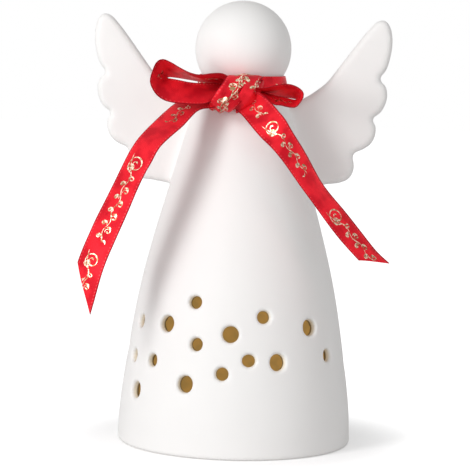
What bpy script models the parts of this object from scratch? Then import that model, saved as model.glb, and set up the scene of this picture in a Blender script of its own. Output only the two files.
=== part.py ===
"""Ceramic angel candle holder: a hollow bell-shaped figure with a round head and two wings,
pierced with round holes, and a satin ribbon tied round its neck in a bow.

Metres, +Z up. The origin is on the figure's axis, on the plane it stands on, and -Y is the front.
Lengths below are in millimetres and are scaled to metres where they are used.
"""
import math

import bmesh
import bpy
from mathutils import Matrix, Vector

MM = 0.001
# Points closer than this, in metres, are one
MERGE = 0.00001

# Figure
HEIGHT = 180.0
# The outlines and places below are drawn in 180ths of the height
UNIT = HEIGHT / 180
HEAD_RADIUS = 19.55
FOOT_RADIUS = 47.7
WALL = 3.6
FOOT_ROUND = 1.0
ROUND_STEPS = 48
CAVITY_BELOW = 5.0
# Height up the dress as a share of the whole, and its radius there as a share of the foot's
DRESS = ((0.0, 1.0), (0.066, 0.990), (0.205, 0.925), (0.355, 0.829), (0.5, 0.692),
         (0.59, 0.593), (0.744, 0.423), (0.82, 0.333), (0.86, 0.290))

# Wings: the outline of the right one in units, from the shoulder over the tip and down the feathers
WING_THICK = 6.6
WING_ROUND = 2.0
WING_BACK = 12.0
WING = ((10.0, 133.0), (18.0, 137.5), (26.5, 141.3), (34.5, 147.2), (37.7, 151.5), (41.2, 156.2),
        (46.2, 162.9), (51.8, 169.8), (55.2, 172.8), (57.6, 173.2), (59.6, 171.4), (60.9, 167.4),
        (61.1, 163.0), (60.0, 157.2), (58.4, 152.6), (56.5, 149.3), (58.9, 146.6), (59.8, 143.0),
        (58.9, 138.9), (56.6, 135.4), (54.0, 133.0), (55.3, 129.8), (55.2, 126.2), (53.2, 122.4),
        (50.0, 120.1), (46.6, 118.1), (46.9, 113.0), (45.3, 108.6), (41.8, 106.5), (36.0, 105.7),
        (28.0, 104.3), (18.0, 104.0), (12.0, 114.0))
OUTLINE_CUTS = 2

# Holes: turn from the front in degrees, height in units, and whether it is one of the large ones
SMALL_HOLE = 2.5
LARGE_HOLE = 3.2
HOLE_SIDES = 12
FRONT_HOLES = ((-68, 36.4, 0), (-66, 50.6, 0), (-60, 23.4, 1), (-49, 36.4, 0), (-41.5, 51.5, 1),
               (-26, 28.9, 1), (-24.4, 61.0, 0), (-21.6, 44.7, 0), (-6.7, 33.8, 0),
               (-2.9, 49.3, 1), (7.2, 39.2, 0), (15.6, 56.1, 0), (22.8, 38.4, 1),
               (44.6, 51.2, 1), (57.8, 39.3, 0))
BACK_HOLE_FIRST = 86.0
BACK_HOLE_STEP = 15.6
BACK_HOLE_COUNT = 13
BACK_HOLE_HEIGHTS = (33.0, 52.0, 38.0, 27.0, 60.0)

# Ribbon
RIBBON_WIDTH = 12.0
RIBBON_THICK = 0.5
BAND_HEIGHT = 10.4
BAND_RISE = 1.2
EASE = 0.4
STRIP_CUTS = 4
GATHER = 0.5
GATHER_RUN = 7.0
# Stations of each length of ribbon: a point on its middle line, as degrees round from the front, the
# gap between it and the figure's face and its rise above the neck, and the way its width runs.
# The gaps and rises are in units. A loop runs out from the knot, round its bend and back below
LEFT_LOOP = (((-13, 7, 0), (1, 12, -2)), ((-31, 15, 0), (0, 12, -2)),
             ((-45, 22, 3), (1, 10, -5)), ((-49, 28, 0), (6, 10, 0)),
             ((-43, 22, -5), (2, 8, 8)), ((-28, 13, -6), (1, 9, 8)),
             ((-13, 7, -5), (1, 10, 4)))
RIGHT_LOOP = (((7, 6, -4), (0, 12, -1)), ((23, 9, -4), (0, 12, -2)),
              ((35, 15, -4), (0, 10, -5)), ((39, 18, -6), (-3, 11, -2)),
              ((33, 17, -8), (-1, 12, 2)), ((20, 10, -7), (0, 12, 2)),
              ((6, 6, -6), (0, 12, 1)))
# A tail lifts over the shoulder, turns down and hangs clear of the dress
LEFT_TAIL = (((-15, 5, -8), (6, -5, -8)), ((-31, 9, -9), (6, -6, -7)),
             ((-38, 20, -13), (8, -8, -4)), ((-42, 34, -30), (9, -8, -3)),
             ((-48, 36, -58), (10, -7, -3)), ((-54, 37, -90), (10, -6, -3)))
LEFT_CUT = 17.5
RIGHT_TAIL = (((-2, 4, -6), (8, 2, 7)), ((10, 7, -10), (9, 0, 8)),
              ((21, 20, -21), (8, -4, 7)), ((27, 22, -30), (7, -8, 5)),
              ((41, 25, -51), (6, -8, 4)), ((54, 33, -73), (6, -8, 5)))
RIGHT_CUT = 9.0
# Knot: the rolls of ribbon pulled round one another, as centre (placed as above), half sizes in
# units and lean per height
KNOT_ROLLS = (((-14, 7, -5), (6, 5, 8), 0.4), ((3, 5, -7), (4, 4.5, 6.5), 0.4))
KNOT_SIDES = 12
KNOT_RINGS = 8


def reset_scene():
    for obj in list(bpy.data.objects):
        bpy.data.objects.remove(obj, do_unlink=True)


def collection(name):
    coll = bpy.data.collections.new(name)
    bpy.context.scene.collection.children.link(coll)
    return coll


def material(name, colour, roughness):
    mat = bpy.data.materials.new(name)
    mat.use_nodes = True
    shader = mat.node_tree.nodes["Principled BSDF"]
    shader.inputs["Base Color"].default_value = (*colour, 1.0)
    shader.inputs["Roughness"].default_value = roughness
    shader.inputs["Metallic"].default_value = 0.0
    return mat


def add_object(name, mesh, coll):
    obj = bpy.data.objects.new(name, mesh)
    coll.objects.link(obj)
    return obj


def hide_cutter(obj):
    obj.hide_render = True
    obj.display_type = "WIRE"


def boolean(obj, name, operation, other):
    mod = obj.modifiers.new(name, "BOOLEAN")
    mod.operation = operation
    mod.solver = "EXACT"
    mod.object = other


def catmull(before, here, after, later, share):
    """Point a share of the way from here to after, on a curve that passes through all four."""
    square = share * share
    cube = square * share
    return ((here * 2 + (after - before) * share
             + (before * 2 - here * 5 + after * 4 - later) * square
             + (here * 3 - before - after * 3 + later) * cube) * 0.5)


def smooth_line(points, cuts, closed=False):
    """The points with cuts - 1 more between each two, on a smooth curve through them."""
    count = len(points)
    spans = count if closed else count - 1
    line = []
    for i in range(spans):
        if closed:
            four = [points[(i + k) % count] for k in (-1, 0, 1, 2)]
        else:
            four = [points[max(0, min(count - 1, i + k))] for k in (-1, 0, 1, 2)]
        for k in range(cuts):
            line.append(catmull(*four, k / cuts))
    if not closed:
        line.append(points[-1].copy())
    return line


def dress_radius(height):
    """Radius of the dress's outer face at a height."""
    share = height / HEIGHT
    last = len(DRESS) - 1
    i = 0
    while i < last - 1 and share > DRESS[i + 1][0]:
        i += 1

    def slope(k):
        low, high = max(k - 1, 0), min(k + 1, last)
        return (DRESS[high][1] - DRESS[low][1]) / (DRESS[high][0] - DRESS[low][0])

    span = DRESS[i + 1][0] - DRESS[i][0]
    t = (share - DRESS[i][0]) / span
    value = (DRESS[i][1] * (2 * t**3 - 3 * t**2 + 1) + slope(i) * span * (t**3 - 2 * t**2 + t)
             + DRESS[i + 1][1] * (3 * t**2 - 2 * t**3) + slope(i + 1) * span * (t**3 - t**2))
    return FOOT_RADIUS * value


def head_radius(height, shrink=0.0):
    """Radius of the head's face at a height, or of one that lies shrink inside it."""
    return math.sqrt(max((HEAD_RADIUS - shrink)**2 - (height - HEIGHT + HEAD_RADIUS)**2, 0.0))


def neck_height(shrink=0.0):
    """Height at which the dress runs into the head."""
    low = HEIGHT - 2 * HEAD_RADIUS + shrink
    high = HEIGHT - HEAD_RADIUS
    for _ in range(40):
        mid = (low + high) / 2
        if head_radius(mid, shrink) < dress_radius(mid) - shrink:
            low = mid
        else:
            high = mid
    return low


def about_figure(turn, gap, rise):
    """Point that is turned round from the front, a gap outside the figure's face, at a rise above
    its neck."""
    height = neck_height() + rise * UNIT
    face = dress_radius(height) if rise < 0 else head_radius(height)
    radius = face + gap * UNIT
    return Vector((radius * math.sin(math.radians(turn)), -radius * math.cos(math.radians(turn)), height))


def turned(name, profile, coll, closed=False):
    """A solid turned about Z from a profile of (radius, height) that runs down its outer side."""
    mesh = bpy.data.meshes.new(name)
    bm = bmesh.new()
    verts = [bm.verts.new((radius * MM, 0.0, height * MM)) for radius, height in profile]
    for first, second in zip(verts, verts[1:]):
        bm.edges.new((first, second))
    if closed:
        bm.edges.new((verts[-1], verts[0]))
    bm.to_mesh(mesh)
    bm.free()
    obj = add_object(name, mesh, coll)
    mod = obj.modifiers.new("turn", "SCREW")
    mod.axis = "Z"
    mod.steps = ROUND_STEPS
    mod.render_steps = ROUND_STEPS
    mod.use_merge_vertices = True
    mod.merge_threshold = MERGE
    mod.use_smooth_shade = True
    return obj


def figure_profile(shrink, foot):
    """Profile of the head and dress, shrink inside the outer face, ending with the foot's points."""
    neck = neck_height(shrink)
    radius = HEAD_RADIUS - shrink
    centre = HEIGHT - HEAD_RADIUS
    last_turn = math.acos((neck - centre) / radius)
    head_steps = 11
    points = [(0.0, centre + radius)]
    for i in range(1, head_steps):
        turn = last_turn * i / head_steps
        points.append((radius * math.sin(turn), centre + radius * math.cos(turn)))
    points.append((dress_radius(neck) - shrink, neck))
    dress_steps = 13
    for i in range(1, dress_steps):
        height = neck * (1 - i / dress_steps)
        points.append((dress_radius(height) - shrink, height))
    return points + foot


def wing_body(coll):
    """Both wings as one mesh, each a flat outline with rounded edges."""
    line = smooth_line([Vector((x, z, 0.0)) * UNIT for x, z in WING], OUTLINE_CUTS, closed=True)
    curve = bpy.data.curves.new("wing_outline", "CURVE")
    curve.dimensions = "2D"
    curve.fill_mode = "BOTH"
    curve.extrude = (WING_THICK / 2 - WING_ROUND) * MM
    curve.bevel_depth = WING_ROUND * MM
    curve.bevel_resolution = 1
    curve.offset = -WING_ROUND * MM
    spline = curve.splines.new("POLY")
    spline.points.add(len(line) - 1)
    for point, place in zip(spline.points, line):
        point.co = (place.x * MM, place.y * MM, 0.0, 1.0)
    spline.use_cyclic_u = True
    outline = add_object("wing_outline", curve, coll)
    outline.rotation_euler = (math.pi / 2, 0.0, 0.0)
    outline.location = (0.0, WING_BACK * MM, 0.0)
    bpy.context.view_layer.update()
    graph = bpy.context.evaluated_depsgraph_get()
    mesh = bpy.data.meshes.new_from_object(outline.evaluated_get(graph))
    mesh.transform(outline.matrix_world)
    bpy.data.objects.remove(outline, do_unlink=True)
    bm = bmesh.new()
    bm.from_mesh(mesh)
    bmesh.ops.remove_doubles(bm, verts=bm.verts, dist=MERGE)
    half = bm.faces[:]
    other = bmesh.ops.duplicate(bm, geom=bm.verts[:] + bm.edges[:] + half)["geom"]
    copied_verts = [item for item in other if isinstance(item, bmesh.types.BMVert)]
    copied_faces = [item for item in other if isinstance(item, bmesh.types.BMFace)]
    for vert in copied_verts:
        vert.co.x = -vert.co.x
    bmesh.ops.reverse_faces(bm, faces=copied_faces)
    bm.to_mesh(mesh)
    bm.free()
    wings = add_object("wings", mesh, coll)
    hide_cutter(wings)
    return wings


def hole_list():
    """Every hole as (turn in degrees, height, radius): the front's, then the zigzag at the back."""
    holes = [(turn, height * UNIT, LARGE_HOLE if large else SMALL_HOLE)
             for turn, height, large in FRONT_HOLES]
    for i in range(BACK_HOLE_COUNT):
        turn = BACK_HOLE_FIRST + BACK_HOLE_STEP * i
        height = BACK_HOLE_HEIGHTS[i % len(BACK_HOLE_HEIGHTS)] * UNIT
        holes.append((turn, height, LARGE_HOLE if i % 3 == 0 else SMALL_HOLE))
    return holes


def hole_cutter(coll):
    """Pins that pierce the wall square to its face, one for each hole."""
    bm = bmesh.new()
    for turn, height, radius in hole_list():
        rise = math.atan((dress_radius(height - UNIT) - dress_radius(height + UNIT)) / (2 * UNIT))
        middle = (dress_radius(height) - WALL / 2) * MM
        place = (Matrix.Rotation(math.radians(turn), 4, "Z")
                 @ Matrix.Translation((0.0, -middle, height * MM))
                 @ Matrix.Rotation(math.pi / 2 - rise, 4, "X"))
        bmesh.ops.create_cone(bm, cap_ends=True, segments=HOLE_SIDES, radius1=radius * MM,
                              radius2=radius * MM, depth=3 * WALL * MM, matrix=place)
    mesh = bpy.data.meshes.new("hole_pins")
    bm.to_mesh(mesh)
    bm.free()
    pins = add_object("hole_pins", mesh, coll)
    hide_cutter(pins)
    return pins


def strip(name, stations, coll, cut=0.0, loop=False):
    """A length of ribbon along its stations, gathered where the knot holds it: at its start, and at
    both ends of a loop. cut is how much longer its second edge is than its first."""
    centres = smooth_line([about_figure(*place) for place, _ in stations], STRIP_CUTS)
    leans = smooth_line([Vector(lean).normalized() for _, lean in stations], STRIP_CUTS)
    lengths = [0.0]
    for first, second in zip(centres, centres[1:]):
        lengths.append(lengths[-1] + (second - first).length)
    total = lengths[-1]

    def edge_point(distance, side):
        i = 0
        while i < len(lengths) - 2 and distance > lengths[i + 1]:
            i += 1
        share = (distance - lengths[i]) / (lengths[i + 1] - lengths[i])
        lean = leans[i].lerp(leans[i + 1], share).normalized()
        from_knot = min(distance, total - distance) if loop else distance
        width = RIBBON_WIDTH * (GATHER + (1 - GATHER) * min(1.0, from_knot / GATHER_RUN))
        return (centres[i].lerp(centres[i + 1], share) + lean * (side * width / 2)) * MM

    bm = bmesh.new()
    bmesh.ops.create_grid(bm, x_segments=len(centres) - 1, y_segments=2, size=1.0)
    for vert in bm.verts:
        along = (vert.co.x + 1) / 2
        side = vert.co.y
        shorter = abs(cut) * (1 - side * math.copysign(1, cut)) / 2
        vert.co = edge_point(along * (total - shorter), side)
    mesh = bpy.data.meshes.new(name)
    bm.to_mesh(mesh)
    bm.free()
    obj = add_object(name, mesh, coll)
    mod = obj.modifiers.new("thickness", "SOLIDIFY")
    mod.thickness = RIBBON_THICK * MM
    mod.offset = 0.0
    hide_cutter(obj)
    return obj


def knot_roll(name, centre, sizes, lean, coll):
    """One roll of the knot: a ball, stretched, leant over and set in place."""
    bm = bmesh.new()
    bmesh.ops.create_uvsphere(bm, u_segments=KNOT_SIDES, v_segments=KNOT_RINGS, radius=1.0)
    for vert in bm.verts:
        high = vert.co.z * sizes[2]
        reach = Vector((vert.co.x * sizes[0] + high * lean, vert.co.y * sizes[1], high)) * UNIT
        vert.co = (about_figure(*centre) + reach) * MM
    mesh = bpy.data.meshes.new(name)
    bm.to_mesh(mesh)
    bm.free()
    roll = add_object(name, mesh, coll)
    hide_cutter(roll)
    return roll


def build_angel(parts, cutters, mat):
    foot = [(FOOT_RADIUS, FOOT_ROUND), (FOOT_RADIUS - 0.3 * FOOT_ROUND, 0.3 * FOOT_ROUND),
            (FOOT_RADIUS - FOOT_ROUND, 0.0), (0.0, 0.0)]
    angel = turned("angel_shell", figure_profile(0.0, foot), parts)
    angel.data.materials.append(mat)
    inner = FOOT_RADIUS - WALL
    mouth = [(inner, FOOT_ROUND), (inner + 0.6 * FOOT_ROUND, 0.0),
             (inner + 0.6 * FOOT_ROUND, -CAVITY_BELOW), (0.0, -CAVITY_BELOW)]
    cavity = turned("hollow", figure_profile(WALL, mouth), cutters)
    hide_cutter(cavity)
    boolean(angel, "wings", "UNION", wing_body(cutters))
    boolean(angel, "hollow", "DIFFERENCE", cavity)
    boolean(angel, "holes", "DIFFERENCE", hole_cutter(cutters))
    return angel


def build_ribbon(parts, cutters, mat):
    top = neck_height() + BAND_RISE
    low = top - BAND_HEIGHT
    top_inner = head_radius(top) + 2 * EASE
    low_inner = dress_radius(low) + EASE
    profile = [(top_inner + RIBBON_THICK, top), (low_inner + RIBBON_THICK, low),
               (low_inner, low), (top_inner, top)]
    ribbon = turned("ribbon_bow", profile, parts, closed=True)
    ribbon.data.materials.append(mat)
    for i, (centre, sizes, lean) in enumerate(KNOT_ROLLS):
        boolean(ribbon, f"roll_{i}", "UNION", knot_roll(f"knot_roll_{i}", centre, sizes, lean, cutters))
    for name, stations in (("left_loop", LEFT_LOOP), ("right_loop", RIGHT_LOOP)):
        boolean(ribbon, name, "UNION", strip(name, stations, cutters, loop=True))
    for name, stations, cut in (("left_tail", LEFT_TAIL, LEFT_CUT), ("right_tail", RIGHT_TAIL, RIGHT_CUT)):
        boolean(ribbon, name, "UNION", strip(name, stations, cutters, cut))
    return ribbon


def main():
    reset_scene()
    parts = collection("ceramic_angel_candle_holder")
    cutters = collection("cutters")
    porcelain = material("matt_porcelain", (0.88, 0.87, 0.85), 0.6)
    satin = material("red_satin", (0.55, 0.01, 0.02), 0.4)
    build_angel(parts, cutters, porcelain)
    build_ribbon(parts, cutters, satin)


main()
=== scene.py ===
# %% [markdown]
# # A ceramic angel over a tealight
#
# The real object is two things: a slip-cast figure in unglazed white ceramic, hollow and pierced
# with holes, and one length of red satin ribbon tied round its neck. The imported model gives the
# frame: where the figure stands, how tall it is, and the space that the ribbon takes up. This
# script dresses that frame. It starts by loading it and by keeping the box that it fills.

# %% Load the frame
import math

import bpy
import numpy as np
from mathutils import Matrix, Vector


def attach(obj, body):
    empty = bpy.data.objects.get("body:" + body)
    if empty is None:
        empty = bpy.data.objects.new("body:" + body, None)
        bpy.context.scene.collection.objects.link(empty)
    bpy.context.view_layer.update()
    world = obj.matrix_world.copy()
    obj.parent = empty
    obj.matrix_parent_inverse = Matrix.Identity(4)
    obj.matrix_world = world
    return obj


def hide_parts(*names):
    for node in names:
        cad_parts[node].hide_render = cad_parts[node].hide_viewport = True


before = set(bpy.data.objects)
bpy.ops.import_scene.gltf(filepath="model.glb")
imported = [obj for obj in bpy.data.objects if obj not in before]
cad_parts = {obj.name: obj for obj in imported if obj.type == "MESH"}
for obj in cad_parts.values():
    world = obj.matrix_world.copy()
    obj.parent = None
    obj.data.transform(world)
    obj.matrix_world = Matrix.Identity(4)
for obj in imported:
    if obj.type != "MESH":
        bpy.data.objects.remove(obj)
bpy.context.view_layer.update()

MM = 0.001
print("nodes:", sorted(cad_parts))

# %% [markdown]
# ## The camera
#
# The photograph was taken from a little above the bow, close to square on, with a long lens, and
# held very slightly turned. The camera comes first, because the ribbon is soft and has no measures
# of its own: its folds are told by where the photograph shows their edges, and a line of sight
# through such a place and a distance from the figure give one point in space.

# %% Camera
CAMERA = Vector((0.0, -0.9, 0.1681))
YAW, PITCH, ROLL = -0.0016, -0.0926, 0.026
PICTURE = 470
SENSOR = 36.0
LENS = 169.2
FOOT_MIDDLE = (232, 439)
ahead = Vector((math.sin(YAW) * math.cos(PITCH), math.cos(YAW) * math.cos(PITCH), math.sin(PITCH)))
level = Vector((math.cos(YAW), -math.sin(YAW), 0))
upward = level.cross(ahead)
view_right = level * math.cos(ROLL) + upward * math.sin(ROLL)
view_up = upward * math.cos(ROLL) - level * math.sin(ROLL)
lens = bpy.data.cameras.new("camera")
lens.sensor_width = SENSOR
lens.lens = LENS
lens.clip_start = 0.01
camera = bpy.data.objects.new("camera", lens)
bpy.context.scene.collection.objects.link(camera)
aim = Matrix((view_right, view_up, -ahead)).transposed().to_4x4()
aim.translation = CAMERA
camera.matrix_world = aim
bpy.context.scene.camera = camera
bpy.context.scene.view_settings.view_transform = "Standard"


def sight(pixel):
    """The direction in which the camera sees a pixel of the photograph."""
    focal = LENS / SENSOR * PICTURE
    x, y = pixel
    line = ahead + view_right * ((x - PICTURE / 2) / focal) + view_up * ((PICTURE / 2 - y) / focal)
    return np.array(line.normalized())


def seen_at(pixel, depth):
    """The point, in millimetres, that a pixel shows at depth (its y)."""
    eye = np.array(CAMERA) / MM
    line = sight(pixel)
    return eye + line * ((depth - eye[1]) / line[1])


def seen_behind(pixel, near, gap):
    """The point that a pixel shows behind the point near, a gap away from it."""
    eye = np.array(CAMERA) / MM
    line = sight(pixel)
    along = line @ (eye - near)
    spare = along**2 - (eye - near) @ (eye - near) + gap**2
    return eye + line * (math.sqrt(max(spare, 0.0)) - along)


print("camera sees the middle of the foot at", seen_at(FOOT_MIDDLE, 0.0).round(1))

# %% [markdown]
# ## Working by hand, in code
#
# Every modelling step below is an operator, as it would be from Blender's menus. An operator works
# on whatever is selected, so each step first clears the selection. Three small helpers do the
# things that every piece needs: start clean, apply a modifier, and settle a piece at the origin.

# %% Helpers for modelling
def start_clean():
    if bpy.context.object and bpy.context.object.mode != "OBJECT":
        bpy.ops.object.mode_set(mode="OBJECT")
    bpy.ops.object.select_all(action="DESELECT")


def make_active(obj):
    start_clean()
    obj.select_set(True)
    bpy.context.view_layer.objects.active = obj


def apply_modifier(obj, kind, **settings):
    make_active(obj)
    mod = obj.modifiers.new(kind.lower(), kind)
    for name, value in settings.items():
        setattr(mod, name, value)
    bpy.ops.object.modifier_apply(modifier=mod.name)


def settle(obj, name):
    """Put the piece's place into its mesh, and name it."""
    make_active(obj)
    bpy.ops.object.transform_apply(location=True, rotation=True, scale=True)
    obj.name = name
    obj.data.name = name


# %% [markdown]
# ## The dress and the head
#
# The dress is a bell turned about an upright axis, and the head is a ball that runs into it at the
# neck. Both are one turned form, so one ring is enough to start with: a circle at the foot, drawn
# up into the next ring again and again, each scaled to the radius that the figure has there.

# %% Measures of the figure
HEIGHT = 0.180
HEAD_RADIUS = 0.01955
FOOT_RADIUS = 0.0477
WALL = 0.0036
DRESS_HEIGHTS = np.array([0.0, 11.9, 36.9, 63.9, 90.0, 106.2, 133.9, 147.6, 154.8]) * MM
DRESS_RADII = np.array([1.0, 0.990, 0.925, 0.829, 0.692, 0.593, 0.423, 0.333, 0.290]) * FOOT_RADIUS
HEAD_CENTRE = HEIGHT - HEAD_RADIUS
NECK_SEARCH_FROM = 0.141
NECK_SEARCH_STEPS = 4000


def hermite(x, xs, ys):
    """Smooth curve through the points (xs, ys)."""
    slopes = np.gradient(ys, xs)
    i = np.clip(np.searchsorted(xs, x) - 1, 0, len(xs) - 2)
    span = xs[i + 1] - xs[i]
    t = (x - xs[i]) / span
    return (ys[i] * (2 * t**3 - 3 * t**2 + 1) + slopes[i] * span * (t**3 - 2 * t**2 + t)
            + ys[i + 1] * (3 * t**2 - 2 * t**3) + slopes[i + 1] * span * (t**3 - t**2))


def dress_radius(height):
    return hermite(np.asarray(height, float), DRESS_HEIGHTS, DRESS_RADII)


def head_radius(height, shrink=0.0):
    return np.sqrt(np.maximum((HEAD_RADIUS - shrink)**2 - (height - HEAD_CENTRE)**2, 0.0))


def neck_height(shrink=0.0):
    """The height at which the head becomes wider than the dress."""
    heights = np.linspace(NECK_SEARCH_FROM, HEAD_CENTRE, NECK_SEARCH_STEPS)
    head_is_wider = head_radius(heights, shrink) >= dress_radius(heights) - shrink
    return float(heights[np.argmax(head_is_wider)])


print("neck at", round(neck_height() / MM, 1), "mm")

# %% Draw the figure up from its foot
RING_SIDES = 128
FOOT_ROUND = 0.0013
FOOT_RINGS = 5
FOOT_GAP = 0.002
DRESS_RINGS = 60
NECK_GAP = 0.0012
HEAD_RINGS = 36
LAST_HEAD_TURN = 0.04


def turned_form(rings, name):
    """A closed form from rings of (radius, height), bottom to top."""
    start_clean()
    bpy.ops.mesh.primitive_circle_add(vertices=RING_SIDES, radius=rings[0][0], fill_type="NGON",
                                      location=(0, 0, rings[0][1]))
    obj = bpy.context.object
    bpy.ops.object.mode_set(mode="EDIT")
    bpy.ops.mesh.select_all(action="SELECT")
    bpy.ops.mesh.flip_normals()
    for (low_r, low_z), (r, z) in zip(rings, rings[1:]):
        bpy.ops.mesh.extrude_region_move(TRANSFORM_OT_translate={"value": (0, 0, z - low_z)})
        bpy.ops.transform.resize(value=(r / low_r, r / low_r, 1), center_override=(0, 0, z))
    bpy.ops.mesh.select_all(action="SELECT")
    bpy.ops.mesh.normals_make_consistent(inside=False)
    bpy.ops.object.mode_set(mode="OBJECT")
    settle(obj, name)
    return obj


def figure_rings(shrink, foot):
    """Rings of the dress and head, shrink inside the outer face, above the rings of the foot."""
    neck = neck_height(shrink)
    rings = list(foot)
    for z in np.linspace(foot[-1][1] + FOOT_GAP, neck - NECK_GAP, DRESS_RINGS):
        rings.append((float(dress_radius(z)) - shrink, z))
    ball = HEAD_RADIUS - shrink
    start = math.acos((neck + NECK_GAP - HEAD_CENTRE) / ball)
    for turn in np.linspace(start, LAST_HEAD_TURN, HEAD_RINGS):
        rings.append((ball * math.sin(turn), HEAD_CENTRE + ball * math.cos(turn)))
    return rings


foot_arc = [(FOOT_RADIUS - FOOT_ROUND + FOOT_ROUND * math.sin(a), FOOT_ROUND - FOOT_ROUND * math.cos(a))
            for a in np.linspace(0.0, math.pi / 2, FOOT_RINGS)]
angel = turned_form(figure_rings(0.0, foot_arc), "angel_body")
print("figure:", len(angel.data.polygons), "faces")

# %% [markdown]
# ## The wings
#
# Each wing is a flat plate with softly rounded edges and four blunt feathers along its outer side.
# A flat curve is the natural way to draw such an outline: its bevel rounds the edge, and a closed
# smooth line through a few points gives the feathers. It is drawn once, turned upright, made a
# mesh, and mirrored, because both wings are alike.

# %% Draw one wing and mirror it
WING_THICK = 0.0066
WING_ROUND = 0.0026
WING_BACK = 0.012
WELD = 0.00002
WING = [(8, 131), (18, 137.2), (26.3, 141.2), (31.0, 144.4), (34.7, 147.5), (37.9, 151.6),
        (41.3, 156.2), (46.2, 162.9), (51.8, 170.0), (55.0, 173.0), (57.6, 173.5), (59.7, 171.6),
        (61.0, 167.6), (61.2, 163.0), (60.4, 157.6), (58.9, 152.9), (56.6, 149.4), (58.9, 146.6),
        (59.8, 143.0), (59.0, 138.9), (56.9, 135.3), (54.1, 132.9), (55.4, 129.8), (55.3, 126.2),
        (53.5, 122.6), (50.3, 120.2), (46.6, 118.2), (47.0, 113.0), (45.4, 108.6), (41.8, 106.4),
        (36.0, 105.5), (28.0, 104.1), (16.0, 104.0), (8.0, 116.0)]

start_clean()
bpy.ops.curve.primitive_bezier_circle_add(radius=0.02)
wing = bpy.context.object
wing.data.dimensions = "2D"
wing.data.fill_mode = "BOTH"
wing.data.splines.clear()
line = wing.data.splines.new("BEZIER")
line.bezier_points.add(len(WING) - 1)
for knot, (x, z) in zip(line.bezier_points, WING):
    knot.co = (x * MM, z * MM, 0)
    knot.handle_left_type = knot.handle_right_type = "AUTO"
line.use_cyclic_u = True
line.resolution_u = 6
wing.data.extrude = WING_THICK / 2 - WING_ROUND
wing.data.bevel_depth = WING_ROUND
wing.data.bevel_resolution = 3
wing.data.offset = -WING_ROUND
wing.rotation_euler = (math.pi / 2, 0, 0)
wing.location = (0, WING_BACK, 0)
make_active(wing)
bpy.ops.object.convert(target="MESH")
settle(wing, "wing")
bpy.ops.object.mode_set(mode="EDIT")
bpy.ops.mesh.select_all(action="SELECT")
bpy.ops.mesh.remove_doubles(threshold=WELD)
bpy.ops.mesh.normals_make_consistent(inside=False)
bpy.ops.mesh.duplicate()
bpy.ops.transform.resize(value=(-1, 1, 1), center_override=(0, 0, 0))
bpy.ops.mesh.select_all(action="SELECT")
bpy.ops.mesh.normals_make_consistent(inside=False)
bpy.ops.object.mode_set(mode="OBJECT")
print("wings:", len(wing.data.polygons), "faces")

# %% [markdown]
# ## One casting
#
# In the mould the wings and the dress are one skin, and the clay rounds every inside corner. A
# voxel remesh makes one even skin of both, and smoothing only where the wings meet the dress lays
# a soft fillet there, while the rest keeps its form.

# %% Join the wings to the dress
FIRST_SKIN = 0.0009
JOIN_OUTSIDE = 0.006
JOIN_LOW, JOIN_HIGH = 0.096, 0.148
FILLET_REACH = 0.007
FILLET_BESIDE = 0.008
FILLET_STRENGTH = 1.6
WEIGHT_LEVELS = 20
DRESS_SLOPE = 0.97
FAR_OFF = 1.0


def join_into(obj, *others):
    make_active(obj)
    for other in others:
        other.select_set(True)
    bpy.ops.object.join()
    return obj


def remesh(obj, size):
    make_active(obj)
    obj.data.remesh_voxel_size = size
    obj.data.remesh_voxel_adaptivity = 0.0
    obj.data.use_remesh_fix_poles = False
    bpy.ops.object.voxel_remesh()


def read_points(obj):
    points = np.empty(len(obj.data.vertices) * 3, np.float32)
    obj.data.vertices.foreach_get("co", points)
    return points.reshape(-1, 3).astype(float)


def weight_group(obj, name, weights):
    group = obj.vertex_groups.new(name=name)
    levels = np.round(np.clip(weights, 0, 1) * WEIGHT_LEVELS).astype(int)
    for level in np.unique(levels):
        if level:
            group.add(np.nonzero(levels == level)[0].tolist(), level / WEIGHT_LEVELS, "REPLACE")


def figure_distance(points):
    """How far each point lies outside the turned form of dress and head."""
    across = np.hypot(points[:, 0], points[:, 1])
    from_dress = (across - dress_radius(points[:, 2])) * DRESS_SLOPE
    dress = np.where(points[:, 2] < neck_height(), from_dress, FAR_OFF)
    head = np.sqrt(across**2 + (points[:, 2] - HEAD_CENTRE)**2) - HEAD_RADIUS
    return np.minimum(dress, head)


join_into(angel, wing)
remesh(angel, FIRST_SKIN)
points = read_points(angel)
near_wing = (np.abs(points[:, 0]) > JOIN_OUTSIDE) & (points[:, 1] > 0)
near_wing &= (points[:, 2] > JOIN_LOW) & (points[:, 2] < JOIN_HIGH)
from_wing = np.abs(np.abs(points[:, 1] - WING_BACK) - WING_THICK / 2)
beside = np.clip(1 - from_wing / FILLET_BESIDE, 0, 1)
close = np.clip(1 - np.abs(figure_distance(points)) / FILLET_REACH, 0, 1)
weight_group(angel, "join", np.where(near_wing, close * beside, 0) * FILLET_STRENGTH)
apply_modifier(angel, "SMOOTH", factor=0.6, iterations=42, vertex_group="join")
apply_modifier(angel, "SMOOTH", factor=0.5, iterations=3)
print("one skin:", len(angel.data.polygons), "faces")

# %% [markdown]
# ## The hollow and the holes
#
# The figure is cast with one even wall, so its hollow is the same turned form, one wall inside the
# outer face. The holes were punched square to the wall while the clay was soft, and sponged, which
# rounds their rims: each pin below flares where it meets the outer face.

# %% Hollow the figure
inner_foot = FOOT_RADIUS - WALL
MOUTH_FLARE = 0.0006
BELOW_FOOT = -0.004
mouth = [(inner_foot + MOUTH_FLARE, BELOW_FOOT), (inner_foot + MOUTH_FLARE, 0.0),
         (inner_foot + 0.0001, 0.0006), (inner_foot, 0.0014)]
hollow = turned_form(figure_rings(WALL, mouth), "hollow")

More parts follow.
